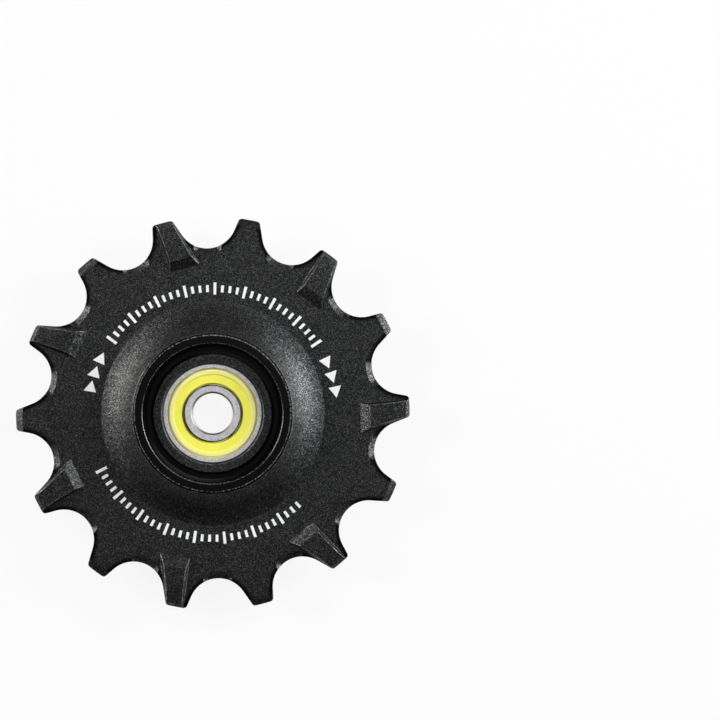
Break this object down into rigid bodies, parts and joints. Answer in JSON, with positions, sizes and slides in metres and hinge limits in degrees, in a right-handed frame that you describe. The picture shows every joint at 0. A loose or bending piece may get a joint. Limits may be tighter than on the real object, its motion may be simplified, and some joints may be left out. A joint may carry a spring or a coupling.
{
  "type": "derailleur jockey wheel",
  "caption": "Bicycle derailleur jockey wheel: black toothed aluminium pulley with alternate widened teeth and a flared hub, turning on a sealed ball bearing with a plain axle bore.",
  "frame": {"origin": "middle of the axle bore, on its axis and halfway across the bearing's width", "axes": "+Z along the bore, out of the side that the bearing goes in from; +X through the middle of a widened tooth"},
  "size_m": [0.0588, 0.0578, 0.0086],
  "materials": {
    "anodised_aluminium": "bead blasted and black anodised, smooth turned hub rim",
    "race_steel": "ground",
    "ball_steel": "polished",
    "seal_rubber": "moulded, satin",
    "cage_nylon": "moulded"
  },
  "bodies": {
    "inner_race": {"bearing_inner_race": "race_steel"},
    "wheel": {"pulley_wheel": "anodised_aluminium", "bearing_outer_race": "race_steel", "front_seal": "seal_rubber", "rear_seal": "seal_rubber"},
    "cage": {"bearing_cage": "cage_nylon"},
    "ball_1": {"ball_1": "ball_steel"},
    "ball_2": {"ball_2": "ball_steel"},
    "ball_3": {"ball_3": "ball_steel"},
    "ball_4": {"ball_4": "ball_steel"},
    "ball_5": {"ball_5": "ball_steel"},
    "ball_6": {"ball_6": "ball_steel"},
    "ball_7": {"ball_7": "ball_steel"}
  },
  "joints": [
    {"name": "wheel_spin", "type": "hinge", "parent": "inner_race", "child": "wheel", "pos_m": [0, 0, 0], "axis": [0, 0, 1], "continuous": true},
    {"name": "cage_orbit", "type": "hinge", "parent": "inner_race", "child": "cage", "pos_m": [0, 0, 0], "axis": [0, 0, 1], "continuous": true},
    {"name": "ball_1_roll", "type": "hinge", "parent": "cage", "child": "ball_1", "pos_m": [0.00525, 0, 0], "axis": [0, 0, 1], "continuous": true},
    {"name": "ball_2_roll", "type": "hinge", "parent": "cage", "child": "ball_2", "pos_m": [0.00327, 0.0041, 0], "axis": [0, 0, 1], "continuous": true},
    {"name": "ball_3_roll", "type": "hinge", "parent": "cage", "child": "ball_3", "pos_m": [-0.00117, 0.00512, 0], "axis": [0, 0, 1], "continuous": true},
    {"name": "ball_4_roll", "type": "hinge", "parent": "cage", "child": "ball_4", "pos_m": [-0.00473, 0.00228, 0], "axis": [0, 0, 1], "continuous": true},
    {"name": "ball_5_roll", "type": "hinge", "parent": "cage", "child": "ball_5", "pos_m": [-0.00473, -0.00228, 0], "axis": [0, 0, 1], "continuous": true},
    {"name": "ball_6_roll", "type": "hinge", "parent": "cage", "child": "ball_6", "pos_m": [-0.00117, -0.00512, 0], "axis": [0, 0, 1], "continuous": true},
    {"name": "ball_7_roll", "type": "hinge", "parent": "cage", "child": "ball_7", "pos_m": [0.00327, -0.0041, 0], "axis": [0, 0, 1], "continuous": true}
  ],
  "couplings": [
    {"joint": "cage_orbit", "follows": "wheel_spin", "ratio": 0.61338},
    {"joint": "ball_1_roll", "follows": "wheel_spin", "ratio": 2.0916},
    {"joint": "ball_2_roll", "follows": "wheel_spin", "ratio": 2.0916},
    {"joint": "ball_3_roll", "follows": "wheel_spin", "ratio": 2.0916},
    {"joint": "ball_4_roll", "follows": "wheel_spin", "ratio": 2.0916},
    {"joint": "ball_5_roll", "follows": "wheel_spin", "ratio": 2.0916},
    {"joint": "ball_6_roll", "follows": "wheel_spin", "ratio": 2.0916},
    {"joint": "ball_7_roll", "follows": "wheel_spin", "ratio": 2.0916}
  ]
}
